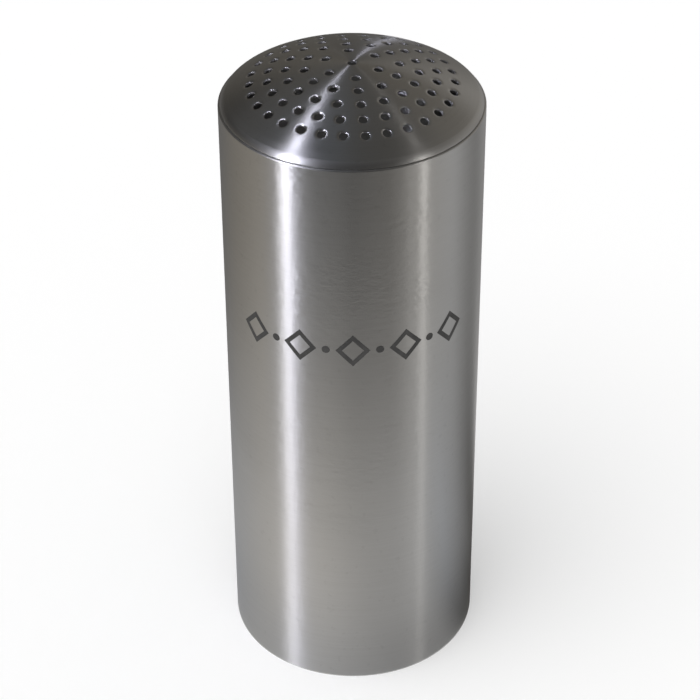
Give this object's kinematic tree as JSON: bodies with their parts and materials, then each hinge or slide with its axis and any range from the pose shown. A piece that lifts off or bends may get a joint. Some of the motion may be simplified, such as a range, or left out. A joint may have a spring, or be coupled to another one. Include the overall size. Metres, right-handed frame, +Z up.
{
  "type": "spice shaker dispenser",
  "caption": "Tall straight round brushed steel shaker with a shallow domed, finely perforated push-fit lid for sprinkling ground spice.",
  "frame": {"origin": "centre of the foot, on the surface that the shaker stands on", "axes": "+Z up along the body's axis, -Y towards the front in the picture, +X to the right of the front"},
  "size_m": [0.076, 0.076, 0.1985],
  "materials": {
    "body_steel": "stainless steel brushed round the body",
    "lid_steel": "stainless steel brushed in circles round the dome, a little darker than the body",
    "inner_steel": "plain rolled stainless steel, satin",
    "seal": "milky food-grade silicone, matt"
  },
  "bodies": {
    "canister": {"body_tube": "body_steel", "base_pan": "inner_steel"},
    "lid_seals": {"upper_seal_ring": "seal", "lower_seal_ring": "seal"},
    "lid": {"dome_cap": "lid_steel", "lid_skirt": "inner_steel"}
  },
  "joints": [
    {"name": "lid_lift", "type": "slide", "parent": "canister", "child": "lid_seals", "axis": [0, 0, 1], "range_m": [0, 0.05]},
    {"name": "lid_turn", "type": "hinge", "parent": "lid_seals", "child": "lid", "pos_m": [0, 0, 0.1865], "axis": [0, 0, 1], "continuous": true}
  ]
}
